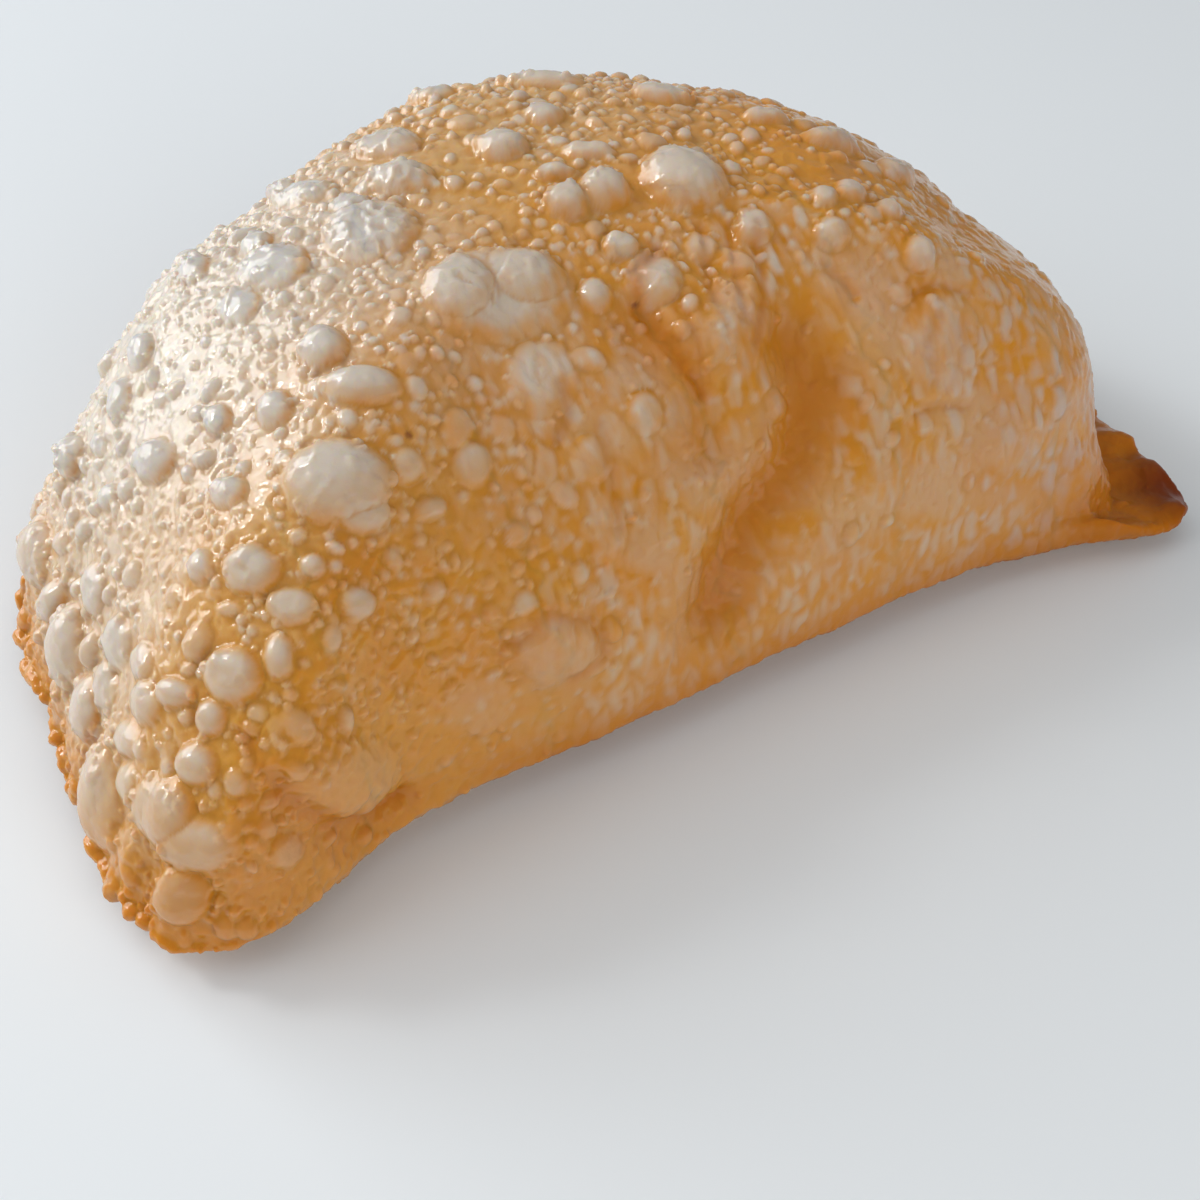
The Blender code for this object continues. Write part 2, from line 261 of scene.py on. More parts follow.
# Blisters as they are seen: where in the photograph, in pixels, then in millimetres their breadth and
# depth in the view and their height, then how wrinkled and how fallen in they are, from 0 to 1.
SEEN_BLISTERS = [
    (458, 283, 12.5, 12.5, 3.6, 0.6, 0.15), (518, 275, 14.5, 12.0, 3.7, 0.2, 0.0),
    (490, 290, 25.0, 16.5, 2.2, 0.0, 0.0), (500, 142, 9.5, 7.0, 2.9, 0.1, 0.0),
    (542, 110, 7.0, 5.0, 2.2, 0.0, 0.0), (601, 187, 9.0, 8.0, 3.6, 0.0, 0.0),
    (565, 200, 8.0, 7.0, 3.0, 0.0, 0.0), (682, 172, 15.0, 14.5, 3.5, 0.15, 0.0),
    (551, 170, 6.5, 3.8, 1.6, 0.0, 0.0), (586, 148, 9.5, 4.0, 1.6, 0.3, 0.0),
    (620, 241, 6.2, 5.2, 2.2, 0.3, 0.0), (594, 290, 6.0, 6.2, 1.9, 0.0, 0.0),
    (538, 371, 12.0, 13.5, 1.5, 0.0, 0.45), (386, 141, 13.0, 7.5, 2.5, 0.9, 0.0),
    (396, 176, 13.0, 6.6, 2.5, 0.9, 0.0), (367, 224, 16.0, 13.5, 3.1, 1.0, 0.1),
    (254, 243, 6.5, 6.0, 1.9, 0.6, 0.0), (198, 272, 5.5, 7.0, 1.9, 0.5, 0.0),
    (279, 187, 8.0, 4.6, 1.9, 0.4, 0.0), (236, 302, 8.0, 7.0, 1.7, 0.8, 0.0),
    (321, 345, 8.2, 7.2, 2.9, 0.1, 0.0), (358, 380, 12.5, 6.6, 2.4, 0.2, 0.0),
    (332, 476, 16.5, 13.5, 3.7, 0.4, 0.0), (249, 567, 9.0, 7.6, 2.6, 0.3, 0.25),
    (201, 564, 4.4, 5.6, 1.8, 0.0, 0.0), (288, 601, 7.2, 6.0, 1.6, 0.2, 0.3),
    (230, 671, 9.4, 8.8, 3.1, 0.4, 0.1), (276, 655, 4.6, 7.0, 1.7, 0.0, 0.0),
    (309, 561, 4.2, 4.2, 1.6, 0.0, 0.0), (355, 599, 5.4, 5.6, 1.7, 0.0, 0.0),
    (206, 714, 5.2, 6.2, 1.9, 0.0, 0.0), (154, 457, 8.6, 7.2, 2.6, 0.3, 0.0),
    (107, 494, 4.6, 4.6, 1.7, 0.0, 0.0), (63, 644, 8.2, 15.0, 2.9, 0.1, 0.0),
    (36, 552, 7.5, 12.0, 3.1, 0.0, 0.0), (72, 455, 6.0, 8.0, 3.1, 0.3, 0.0),
    (96, 800, 9.5, 18.0, 2.7, 0.1, 0.0), (193, 762, 7.0, 7.0, 2.2, 0.1, 0.0),
    (160, 812, 12.0, 12.0, 2.6, 0.1, 0.0), (192, 842, 14.0, 9.0, 2.3, 0.1, 0.0),
    (204, 837, 6.0, 6.0, 1.9, 0.0, 0.0),
    (176, 895, 9.0, 9.5, 3.0, 0.0, 0.0), (225, 930, 4.2, 4.0, 1.4, 0.0, 0.0),
    (243, 928, 4.0, 4.0, 1.4, 0.0, 0.0), (287, 853, 6.0, 6.0, 1.2, 0.0, 0.2),
    (641, 409, 6.4, 7.2, 1.3, 0.0, 0.1), (650, 272, 9.5, 11.0, 2.2, 0.5, 0.0),
    (752, 221, 6.6, 7.2, 2.2, 0.7, 0.0), (700, 243, 6.0, 6.0, 1.4, 0.5, 0.0),
    (920, 248, 6.2, 7.2, 1.8, 0.0, 0.0), (830, 229, 6.2, 6.2, 1.8, 0.0, 0.0),
    (851, 185, 5.8, 5.0, 1.8, 0.0, 0.0), (824, 189, 4.8, 5.2, 1.7, 0.0, 0.0),
    (888, 203, 5.2, 4.8, 1.6, 0.0, 0.0), (940, 345, 15.0, 20.0, 1.1, 0.1, 0.0),
    (545, 642, 17.0, 15.0, 0.9, 0.0, 0.2), (478, 702, 13.0, 12.0, 0.6, 0.0, 0.0),
    (652, 650, 8.0, 13.0, 0.8, 0.0, 0.0), (605, 525, 6.5, 12.0, 0.9, 0.0, 0.0),
    (590, 455, 7.0, 8.0, 0.8, 0.0, 0.0), (735, 320, 12.0, 20.0, 0.9, 0.3, 0.0),
    (690, 415, 9.0, 13.0, 0.8, 0.0, 0.0), (1010, 440, 14.0, 14.0, 0.7, 0.0, 0.0),
    (345, 775, 19.0, 12.0, 0.5, 0.0, 0.0), (880, 480, 10.0, 12.0, 0.7, 0.0, 0.0),
    (84, 706, 7.0, 11.0, 2.2, 0.1, 0.0), (118, 640, 7.0, 9.0, 1.9, 0.1, 0.0),
    (142, 700, 8.0, 7.0, 1.9, 0.3, 0.0), (126, 738, 8.0, 6.0, 1.8, 0.3, 0.0),
    (52, 600, 6.0, 8.0, 2.4, 0.2, 0.0), (88, 588, 6.0, 9.0, 1.9, 0.2, 0.0),
    (106, 686, 6.0, 9.0, 1.9, 0.2, 0.0), (141, 660, 6.0, 6.0, 1.7, 0.0, 0.0),
    (172, 690, 7.0, 4.6, 1.8, 0.0, 0.0), (126, 782, 6.0, 7.0, 1.8, 0.2, 0.0),
    (470, 460, 6.0, 7.5, 1.3, 0.0, 0.0), (404, 462, 5.4, 6.0, 1.3, 0.0, 0.0),
    (430, 95, 11.0, 4.0, 2.2, 0.2, 0.0), (540, 80, 16.0, 3.6, 2.2, 0.2, 0.0),
    (660, 90, 12.0, 3.6, 2.4, 0.2, 0.0), (830, 136, 12.0, 5.0, 2.6, 0.4, 0.0),
    (765, 112, 9.0, 3.0, 1.9, 0.0, 0.0), (895, 165, 9.0, 6.0, 2.2, 0.3, 0.0),
    (300, 190, 14.0, 6.5, 2.2, 0.8, 0.0), (270, 262, 13.0, 9.0, 2.2, 0.9, 0.0),
    (360, 510, 9.0, 6.0, 1.9, 0.3, 0.0), (350, 205, 8.0, 5.5, 2.2, 0.6, 0.0),
    (120, 395, 5.0, 8.0, 1.9, 0.5, 0.0), (140, 350, 5.0, 7.0, 1.9, 0.4, 0.0),
    (215, 415, 5.0, 5.0, 1.9, 0.0, 0.0), (270, 405, 6.5, 6.5, 2.2, 0.2, 0.0),
    (225, 488, 7.0, 5.5, 2.2, 0.3, 0.0),
]  # fmt: skip
BLISTER_FULLNESS = 2.6
BLISTER_STEEPNESS = 1.0
FULL_HEIGHT = 1.8  # a blister this high, or higher, is as pale as can be
WRINKLE_SIZE = 5.0
WRINKLE_DEPTH = 0.5
WRINKLE_LUMPS = 0.6
WRINKLE_RIDGES = 1.2
WRINKLE_LEVEL = 0.35
RIDGE_SIZE = 3.2
FALLEN_DEPTH = 0.8  # as a share of the blister's height
FALLEN_REACH = 0.45
BEND_SIZE, BEND = 6.5, 0.8  # the noise that bends the outlines of the blisters
FINE_BEND_SIZE, FINE_BEND = 2.8, 0.2
FULL_BEND_LENGTH = 6  # a shorter blister is bent less
SEEN_STRAY = 0.35  # how much of that noise bends the blisters above
SWELLING_REACH = 12.0  # how far round a swelling's middle its direction is taken from
BROAD_LUMPS, BROAD_LIFT = 18.0, 0.5
LESSER_LUMPS, LESSER_LIFT = 9.0, 0.45
PIXEL_REACH = 2.0
FRONT_DEPTH = 4.0  # two layers of skin seen at one pixel are further apart than this


def cloudy(points, size, seed):
    """Smooth noise from -1 to 1, with lumps of about this size."""
    cells = points / size + 1000 + 17.3 * seed
    corner = np.floor(cells).astype(np.int64)
    part = cells - corner
    part = part * part * (3 - 2 * part)
    total = np.zeros(len(points))
    for step in np.ndindex(2, 2, 2):
        x, y, z = (corner + step).T
        # Each corner's value is mixed from its place by large numbers that share no factor.
        mixed = (x * 73856093) ^ (y * 19349663) ^ (z * 83492791) ^ (seed * 2654435761)
        mixed = ((mixed ^ (mixed >> 13)) & 0xFFFFFF) * 1274126177
        value = ((mixed ^ (mixed >> 16)) & 65535) / 32767.5 - 1
        total += value * np.prod(np.where(step, part, 1 - part), 1)
    return total


def lumps(points, size, seed):
    """The same turned off the axes, with half-size lumps on it, so that nothing lines up."""
    points = points @ np.array(Matrix.Rotation(0.9, 3, "Z") @ Matrix.Rotation(0.6, 3, "X"))
    return (cloudy(points, size, seed) + 0.5 * cloudy(points, size / 2, seed + 50)) / 1.2


def ridges(points, size, seed):
    """Sharp little ridges with soft valleys, 0 to 1."""
    return 1 - np.abs(np.clip(1.6 * lumps(points, size, seed), -1, 1))


def tangents(normal, turn):
    """The two directions in the skin at a place, the first turned from level by an angle."""
    level = np.array([1.0, 0.0, 0.0]) - normal * normal[0]
    level = level / np.linalg.norm(level)
    upward = np.cross(normal, level)
    cosine, sine = math.cos(turn), math.sin(turn)
    return level * cosine + upward * sine, upward * cosine - level * sine


class Skin:
    """The skin's points and normals, and quick ways to find the points near a place."""

    def __init__(self, points, normals):
        self.points = points
        self.normals = normals
        self.tree = kdtree.KDTree(len(points))
        for number, point in enumerate(points):
            self.tree.insert(point, number)
        self.tree.balance()
        wander = [
            BEND * lumps(points, BEND_SIZE, seed) + FINE_BEND * lumps(points, FINE_BEND_SIZE, seed + 3)
            for seed in (31, 32, 33)
        ]
        self.bent = points + np.stack(wander, 1)
        offset = points - eye
        self.away = -offset @ np.array(towards_eye)
        scale = LENS / SENSOR * PHOTO_SIDE / self.away
        self.across_photo = PHOTO_SIDE / 2 + offset @ np.array(view_right) * scale
        self.down_photo = PHOTO_SIDE / 2 - offset @ np.array(view_up) * scale
        self.facing = -(offset * normals).sum(1) > 0

    def near(self, middle, reach):
        """The numbers of the points within reach of a place."""
        return np.array([found[1] for found in self.tree.find_range(middle, reach)], int)

    def seen_at(self, across, down):
        """The number of the front point that the photograph shows at this pixel."""
        gap = np.hypot(self.across_photo - across, self.down_photo - down)
        gap = np.where(self.facing, gap, np.inf)
        close = np.flatnonzero(gap < gap.min() + PIXEL_REACH)
        front = close[self.away[close] < self.away[close].min() + FRONT_DEPTH]
        return front[np.argmin(gap[front])]

    def ellipse(self, number, length, width, turn):
        """The points in a rough ellipse that lies in the skin, and how far out each is, 0 to 1."""
        found = self.near(self.points[number], 0.55 * length + 0.4)  # a bent outline goes beyond half
        long_way, wide_way = tangents(self.normals[number], turn)
        stray = self.bent[found] - self.points[found] - self.bent[number] + self.points[number]
        offset = self.points[found] - self.points[number] + min(length / FULL_BEND_LENGTH, 1) * stray
        depth = offset @ self.normals[number] / (length / 2)
        spread = (offset @ long_way / (length / 2)) ** 2 + (offset @ wide_way / (width / 2)) ** 2
        return found, np.sqrt(spread + 0.5 * depth**2)

    def seen_ellipse(self, number, breadth, depth):
        """The same for an ellipse that is this broad and deep in the view."""
        found = self.near(self.points[number], max(breadth, depth) * 0.75)
        stray = self.bent[found] - self.points[found] - self.bent[number] + self.points[number]
        offset = self.points[found] - self.points[number] + SEEN_STRAY * stray
        right = offset @ np.array(view_right) / (breadth / 2)
        up = offset @ np.array(view_up) / (depth / 2)
        away = offset @ np.array(towards_eye) / (0.9 * math.sqrt(breadth * depth))
        return found, np.sqrt(right**2 + up**2 + away**2)


def dome_lift(out, height, steepness=BLISTER_STEEPNESS):
    """How high a blister stands, by how far out from its middle."""
    return height * np.clip(1 - out**BLISTER_FULLNESS, 0, None) ** steepness


def pale_share(out):
    """How pale its thin skin is, in the same way."""
    return smooth((1.02 - out) / 0.52)


def nearness(points, normal, middle, length, width, turn):
    """1 at a swelling's middle and 0 from its edge on, for a broad ellipse in the skin."""
    long_way, wide_way = tangents(normal, turn)
    offset = points - middle
    depth = offset @ normal / (length / 2)
    out = (offset @ long_way / (length / 2)) ** 2 + (offset @ wide_way / (width / 2)) ** 2 + depth**2
    return smooth(1 - np.sqrt(out))


def gap_to_path(points, path):
    """How far each point is from the nearest of the straight runs between the path's places."""
    gap = np.full(len(points), np.inf)
    for start, end in zip(path[:-1], path[1:]):
        step = end - start
        offset = points - start
        share = np.clip(offset @ step / (step @ step), 0, 1)
        gap = np.minimum(gap, np.linalg.norm(offset - share[:, None] * step, axis=1))
    return gap


shape = Skin(skin, normals)
lift = np.zeros(len(skin))
crease = np.zeros(len(skin))
for along, across, up, length, width, turn, height in SWELLINGS:
    middle = FOLD_MIDDLE + (along, across, up)
    normal = normals[shape.near(middle, SWELLING_REACH)].mean(0)
    normal = normal / np.linalg.norm(normal)
    lift += height * nearness(skin, normal, middle, length, width, math.radians(turn))
for path, width, depth in CREASES:
    gap = gap_to_path(skin, [FOLD_MIDDLE + place for place in path])
    crease = np.maximum(crease, np.exp(-((gap / width) ** 2)) * depth / DEEPEST_CREASE)
fine_crease = np.zeros(len(skin))
for path, width, depth in SEEN_CREASES:
    gap = gap_to_path(skin, [skin[shape.seen_at(*place)] for place in path])
    valley = np.exp(-((gap / width) ** 2))
    fine_crease = np.maximum(fine_crease, valley * min(depth, 1))
    lift -= depth * valley
uneven = BROAD_LIFT * lumps(skin, BROAD_LUMPS, 5) + LESSER_LIFT * lumps(skin, LESSER_LUMPS, 6)
lift += uneven - DEEPEST_CREASE * crease

raised = np.zeros(len(skin))
pale = np.zeros(len(skin))
places = []
for across, down, breadth, depth, height, wrinkled, fallen in SEEN_BLISTERS:
    number = shape.seen_at(across, down)
    found, out = shape.seen_ellipse(number, breadth, depth)
    up = dome_lift(out, height)
    up -= height * fallen * FALLEN_DEPTH * np.exp(-((out / FALLEN_REACH) ** 2))
    folds = WRINKLE_LUMPS * lumps(shape.bent[found], WRINKLE_SIZE, 40)
    folds = folds + WRINKLE_RIDGES * ridges(skin[found], RIDGE_SIZE, 41) ** 3 - WRINKLE_LEVEL
    up += WRINKLE_DEPTH * wrinkled * folds * smooth((1 - out) / 0.4)
    raised[found] = np.where(out < 1, np.maximum(up, raised[found]), raised[found])
    pale[found] = np.maximum(pale[found], pale_share(out) * min(height / FULL_HEIGHT, 1))
    places.append(np.append(skin[number], (breadth + depth) / 4))

above_table = smooth((skin[:, 2] - 0.5) / RIM_EDGE_HEIGHT)
skin = skin + normals * ((lift + raised) * above_table)[:, None]
write_points(crust.data, skin)
normals = read_vectors(crust.data, "normal")

# ---------------------------------------------------------------- small blisters and pearls
# Between the big blisters the skin is full of small ones, down to pearls of a millimetre. They are
# round on the top and left, and drawn out downwards into soft streaks on the shaded side.

# How many at most, their least and greatest size, their height for their size, and how close they come.
BLISTER_SIZES = [
    (230, 4.0, 6.5, 0.27, 0.86), (1000, 2.2, 4.0, 0.34, 0.8), (3200, 1.1, 2.2, 0.4, 0.72),
    (1500, 2.4, 4.6, 0.13, 0.5),
]  # fmt: skip
PEARL_STEEPNESS = 0.8
PEARL_MERGING = 4  # how soon two that overlap become one: the higher, the sharper the valley
BLISTER_HEIGHT = 0.27  # a blister that is lower for its size than this is less pale
LEFT_CROWDING = 0.6
LONG_BLISTER = 3
EVENING = 5  # rounds, so that the pearls on a blister's flank don't fold over
CLUSTER_SIZE = 15.0  # of the places where the small blisters crowd together
CELLS = 1100
CELL_STRETCH = (1.0, 0.45, 0.42)  # along, across and up: the cells are drawn out down the face
CELL_VALLEY = 1.2
CELL_HEIGHT = 0.32
DOTS = 1500
DOT_SIZE = (1.1, 2.2)
RIM_BEADS = 420
RIM_BEAD_SIZE = (1.6, 3.4)
RIM_BEAD_HEIGHT = 0.3
DOT_HEIGHT = 0.12
ROUGH_DEPTHS = (0.3, 0.12)
ROUGH_SIZES = (4.0, 1.8)
CRINKLE_DEPTH = 0.24
CRINKLE_SIZE = 2.4
TAB_WAVES = 0.8
TAB_WAVE_SIZE = 5.0

# Where each region of the crust starts, or ends, and the run over which it comes in: in millimetres
# along the fold or up, or by how far the skin is turned to one side, from 0 to 1.
FACE_ALONG = (-60, 45)
FACE_TURNED = (0.2, 0.35)
UPPER_TURNED = (-0.3, 0.4)
TAB_MIDDLE = (98, 2, 6)
TAB_REACH = (22, 10)
LEFT_ALONG = (FOLD_MIDDLE[0] - 30, 30)
RIGHT_ALONG = (25, 45)
FRONT_TURNED = (0.15, 0.4)
FRONT_UP = (42, 18)
FRONT_ALONG = (-88, 14)

# How much of the small blisters each region lacks.
FACE_BARE = 0.93
RIGHT_BARE = 0.85
FRONT_BARE = 0.8


def rising(values, start, run):
    return smooth((values - start) / run)


def falling(values, end, run):
    return smooth((end - values) / run)


def neighbours_mean(mesh, values, rounds):
    """The values evened out over the mesh: each round gives a point the mean of its neighbours."""
    ends = np.empty(2 * len(mesh.edges), np.int32)
    mesh.edges.foreach_get("vertices", ends)
    first, second = ends[::2], ends[1::2]
    count = np.bincount(ends, minlength=len(values))
    for _ in range(rounds):
        from_second = np.bincount(first, values[second], len(values))
        from_first = np.bincount(second, values[first], len(values))
        values = (from_second + from_first) / count
    return values


chance = np.random.default_rng(20)
shape = Skin(skin, normals)
along_fold = skin[:, 0] - FOLD_MIDDLE[0]
face_side = rising(along_fold, *FACE_ALONG) * rising(-normals[:, 1], *FACE_TURNED)
upper = rising(normals[:, 2], *UPPER_TURNED)
tab = falling(np.linalg.norm(skin - (FOLD_MIDDLE + TAB_MIDDLE), axis=1), *TAB_REACH)
left_end = falling(skin[:, 0], *LEFT_ALONG)
right_end = rising(along_fold, *RIGHT_ALONG)
front_low = rising(-normals[:, 1], *FRONT_TURNED) * falling(skin[:, 2], *FRONT_UP)
blistered = (1 - FACE_BARE * face_side) * (0.1 + 0.9 * upper) * (1 - tab) * (1 - RIGHT_BARE * right_end)
blistered = blistered * (1 - FRONT_BARE * front_low * rising(along_fold, *FRONT_ALONG))
blistered = blistered * (0.35 + 0.65 * smooth(0.6 + lumps(skin, CLUSTER_SIZE, 90)))
small_lift = np.zeros(len(skin))


def raise_small(number, length, aspect, turn, height, paleness):
    """Adds a small blister, which runs together with the ones that it overlaps."""
    found, out = shape.ellipse(number, length, length * aspect, turn)
    dome = dome_lift(out, height, PEARL_STEEPNESS)
    merged = small_lift[found] ** PEARL_MERGING + dome**PEARL_MERGING
    small_lift[found] = merged ** (1 / PEARL_MERGING)
    pale[found] = np.maximum(pale[found], paleness * pale_share(out))


for count, shortest, longest, height_share, closeness in BLISTER_SIZES:
    tries = chance.integers(len(skin), size=6 * count)
    crowding = blistered[tries] * (1 - LEFT_CROWDING * left_end[tries] * (longest > LONG_BLISTER))
    tries = tries[chance.random(len(tries)) < crowding]
    lengths = shortest + (longest - shortest) * chance.random(len(tries)) ** 2
    middles = skin[tries]
    taken = np.array(places)
    taken = np.concatenate([taken, np.full((count, 4), 1e6)])
    used = len(places)
    for number, length, middle in zip(tries, lengths, middles):
        gap = np.linalg.norm(taken[:used, :3] - middle, axis=1)
        if np.any(gap < closeness * (taken[:used, 3] + length / 2)):
            continue
        height = height_share * length * chance.uniform(0.6, 1.1) * (1 - 0.5 * right_end[number])
        aspect = chance.uniform(0.62, 1.0)
        paleness = chance.uniform(0.35, 1.0) * min(height_share / BLISTER_HEIGHT, 1) ** 2
        raise_small(number, length, aspect, chance.uniform(0, math.pi), height, paleness)
        taken[used] = np.append(middle, length / 2)
        used += 1
        if used == len(taken):
            break
    places = list(taken[:used])

outward = skin[:, :2] - FOLD_MIDDLE[:2] - CREST
fold_share = outline_at(np.arctan2(outward[:, 1], outward[:, 0]))[1]
at_edge = np.abs(skin[:, 2] - RIM_EDGE_HEIGHT - 0.5) < 1.8
at_edge &= np.hypot(normals[:, 0], normals[:, 1]) > 0.5
rim_points = np.flatnonzero(at_edge & (fold_share < 0.2) & (tab < 0.3))
for number in chance.choice(rim_points, RIM_BEADS):
    length = chance.uniform(*RIM_BEAD_SIZE)
    aspect = chance.uniform(0.7, 1.0)
    raise_small(number, length, aspect, chance.uniform(0, math.pi), RIM_BEAD_HEIGHT * length, 0.1)

on_face = np.flatnonzero(face_side > 0.02)
cell_middles = chance.choice(on_face, CELLS)
cells = kdtree.KDTree(CELLS)
for cell, place in enumerate(skin[cell_middles] * CELL_STRETCH):
    cells.insert(place, cell)
cells.balance()
stray = np.stack([lumps(skin[on_face], 3.0, seed) for seed in (81, 82, 83)], 1)
nearest_two = [cells.find_n(place, 2) for place in (shape.bent[on_face] + 0.6 * stray) * CELL_STRETCH]
to_valley = np.array([second[2] - first[2] for first, second in nearest_two])
cell = np.array([first[1] for first, second in nearest_two])
cell_dome = smooth(to_valley / CELL_VALLEY)
cell_share = chance.random(CELLS)[cell] * face_side[on_face]
small_lift[on_face] = np.maximum(small_lift[on_face], CELL_HEIGHT * cell_dome * (0.4 + 0.6 * cell_share))
pale[on_face] = np.maximum(pale[on_face], cell_dome * (0.2 + 0.8 * cell_share) * face_side[on_face])
for number in chance.choice(on_face, DOTS):
    length = chance.uniform(*DOT_SIZE)
    aspect = chance.uniform(0.6, 1.0)
    raise_small(number, length, aspect, math.pi / 2, DOT_HEIGHT * length, chance.uniform(0.4, 1.0))

rough = ROUGH_DEPTHS[0] * (ridges(skin, ROUGH_SIZES[0], 60) ** 2 - 0.4)
rough = rough + ROUGH_DEPTHS[1] * (ridges(skin, ROUGH_SIZES[1], 61) - 0.5)
crinkled = CRINKLE_DEPTH * (ridges(skin, CRINKLE_SIZE, 62) ** 2 - 0.4) * left_end
crinkled = crinkled * (1 - smooth(small_lift / 0.3))
taut = 1 - 0.75 * smooth(raised / 1.2)  # the skin of a big blister is stretched smooth
roughened = (1 - 0.6 * face_side) * (1 - 0.45 * right_end) * taut
small_lift += (rough + crinkled) * roughened + TAB_WAVES * tab * lumps(skin, TAB_WAVE_SIZE, 63)
evened = np.stack([neighbours_mean(crust.data, part, EVENING) for part in normals.T], 1)
evened = evened / np.linalg.norm(evened, axis=1)[:, None]
skin = skin + evened * (small_lift * above_table)[:, None]
skin[:, 2] = np.clip(skin[:, 2], 0, None)

# The finished crust just fits inside the solid's own box.
INSIDE = np.array([0.02, 0.02, 0.02])
least = np.array(cad_box[0]) / MM + INSIDE * (1, 1, 0)
room = np.array(cad_box[1]) / MM - INSIDE - least
skin = least + (skin - skin.min(0)) * room / np.ptp(skin, 0)

# ---------------------------------------------------------------- browning, painted light and painted shade
# The oil browns the dough most where it lay against the pan: along the fold's lower edge, around the
# rim and in the pressed tip. The hollows between the blisters are golden, and the blisters stay pale.
# Painted shade deepens the gold along the lower edge, in the creases and around the blisters, and
# painted light makes the side towards the window and the crest paler and yellower.

# Where the crust is palest, partly paler crust and partly painted light and sheen from the window:
# along, across and up, then how far round that place and how much.
CREAM_AND_LIGHT_PATCHES = [(-68, 72, 56, 72, 1.0), (-98, 46, 30, 50, 0.8), (6, 92, 64, 66, 0.25)]
CREAM_AND_LIGHT_EDGE = (6, 14.0)  # how far the edges of these places waver, and how broadly
# Where the oil has browned it most, and where painted shade darkens the low edge, in the same way.
BROWN_AND_SHADE_PATCHES = [(-98, -4, 6, 26, 0.45), (86, -6, 2, 38, 1.0)]
BROWN_AND_SHADE_EDGE = (4, 9.0)
PATCH_FADE = 0.75
WINDOW_SIDE = np.array([-0.7, 0.45, 0.55])
# Where each look starts, or ends, and its run, as for the regions above.
SUNNY_TURNED = (0.15, 0.35)
SUNNY_CREST = (-10, 85, 66)
SUNNY_REACH = (62, 45)
SHADED_TURNED = (0.1, 0.5)
MILKY_TURNED = (0.55, 0.35)
UNDER_TURNED = (0.3, 0.4)
LOW_UP = (18, 16)
LOWEST_UP = (12, 7)
FACE_LOW_UP = (13, 11)
LEFT_RIM_UP = (20, 12)
LEFT_LOW_UP = (50, 35)
FROST_UP = (8, 20)
FROST_SIZE = 8.0
MOTTLING = 0.4
MOTTLING_SIZE = 1.4
PRESSED_TIP = (97, -3, 5)
PRESSED_TIP_REACH = (16, 13)
TAB_TOAST = 0.15
RIGHT_TOAST = 0.22
UNDER_TOAST = 0.25
SPECK_TOAST = 0.75
SPECKS = [(405, 430, 0.6), (636, 300, 0.5)]  # burnt crumbs, in pixels, and how far round in millimetres
HOLLOW_DEPTH = 0.22
HOLLOW_ROUNDS = 12
SOFT_ROUNDS = 2


def patches(places, edge, seed):
    """Soft patches round the places, the most of them all at each point."""
    waver, size = edge
    most = np.zeros(len(skin))
    for along, across, up, reach, share in places:
        gap = np.linalg.norm(skin - (FOLD_MIDDLE + (along, across, up)), axis=1)
        inside = smooth((reach - gap + waver * lumps(skin, size, seed)) / (PATCH_FADE * reach))
        most = np.maximum(most, share * inside)
    return most


level = skin[:, 2]
low = falling(level, *LOW_UP)
left_rim = left_end * falling(level, *LEFT_RIM_UP)
left_low = left_end * falling(level, *LEFT_LOW_UP)
lowest = falling(level, *LOWEST_UP) * (1 - 0.9 * left_rim)
sunny_side = rising(normals @ WINDOW_SIDE, *SUNNY_TURNED)
shaded = rising(-normals[:, 1], *SHADED_TURNED)
underside = rising(-normals[:, 2], *UNDER_TURNED)

# Golden along the lower edge, in the creases and on the pressed tip: browner dough, with painted shade
# on the low edge and in the creases.
browned_and_shaded = np.maximum(low * (1 - 0.8 * left_rim), lowest)
browned_and_shaded = np.clip(browned_and_shaded + 0.9 * crease + 0.7 * fine_crease + tab, 0, 1)
browned_and_shaded = np.maximum(browned_and_shaded, patches(BROWN_AND_SHADE_PATCHES, BROWN_AND_SHADE_EDGE, 13))

# Toasted darkest at the very tip and in the specks, and a little on the tab and the underside, where
# the crust lay in the pan; the right end is also a little darker low down.
tip_gap = np.linalg.norm(skin - (FOLD_MIDDLE + PRESSED_TIP), axis=1)
toast = np.maximum(TAB_TOAST * tab, RIGHT_TOAST * right_end * low)
toast = np.maximum(toast, falling(tip_gap, *PRESSED_TIP_REACH))
for across, down, reach in SPECKS:
    gap = np.linalg.norm(skin - skin[shape.seen_at(across, down)], axis=1)
    toast = np.maximum(toast, SPECK_TOAST * falling(gap, 1.4 * reach, 0.8 * reach))
toast = np.maximum(toast, UNDER_TOAST * underside)

# Creamy on the side towards the window: partly paler crust, partly painted light and sheen. Painted
# light also makes the ground yellower there and around the crest.
cream_and_window_light = patches(CREAM_AND_LIGHT_PATCHES, CREAM_AND_LIGHT_EDGE, 12)
cream_and_window_light = cream_and_window_light * (1 - 0.95 * left_rim) * (1 - 0.3 * left_low) * (0.3 + 0.7 * sunny_side)
painted_window_light = 0.6 * left_end * sunny_side * (1 - face_side) * (1 - left_rim)
from_crest = np.linalg.norm(skin - (FOLD_MIDDLE + SUNNY_CREST), axis=1)
painted_window_light = np.maximum(painted_window_light, 0.6 * falling(from_crest, *SUNNY_REACH) * (1 - face_side))

